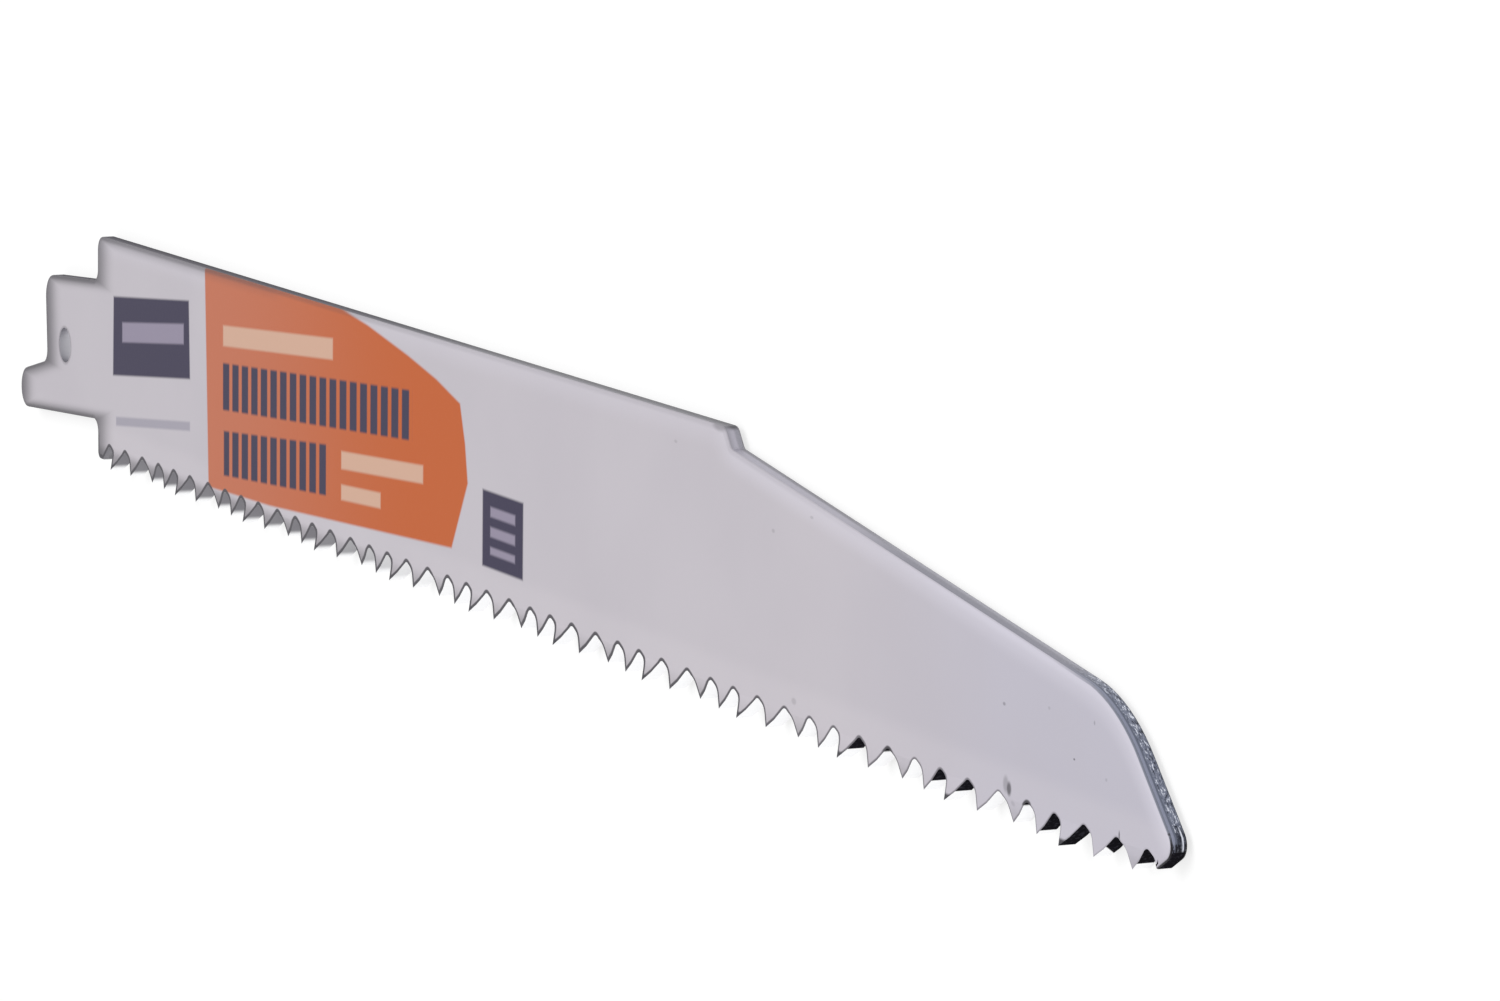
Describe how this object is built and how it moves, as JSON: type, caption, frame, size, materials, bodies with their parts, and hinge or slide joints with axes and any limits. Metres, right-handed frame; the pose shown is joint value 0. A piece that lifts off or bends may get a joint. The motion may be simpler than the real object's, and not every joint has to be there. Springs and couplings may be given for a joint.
{
  "type": "reciprocating saw blade",
  "caption": "Long flat reciprocating saw blade with set teeth, a stepped spine sloping to the nose, and a notched tang with a locating hole.",
  "frame": {"origin": "middle of the base of the bounding box, with the blade lying flat, printed side up", "axes": "+X from the tang to the nose, +Y from the teeth to the spine, +Z out of the printed side"},
  "size_m": [0.2272, 0.0208, 0.0021],
  "materials": {
    "painted_steel": "satin paint"
  },
  "bodies": {
    "root": {"blade": "painted_steel"}
  },
  "joints": []
}
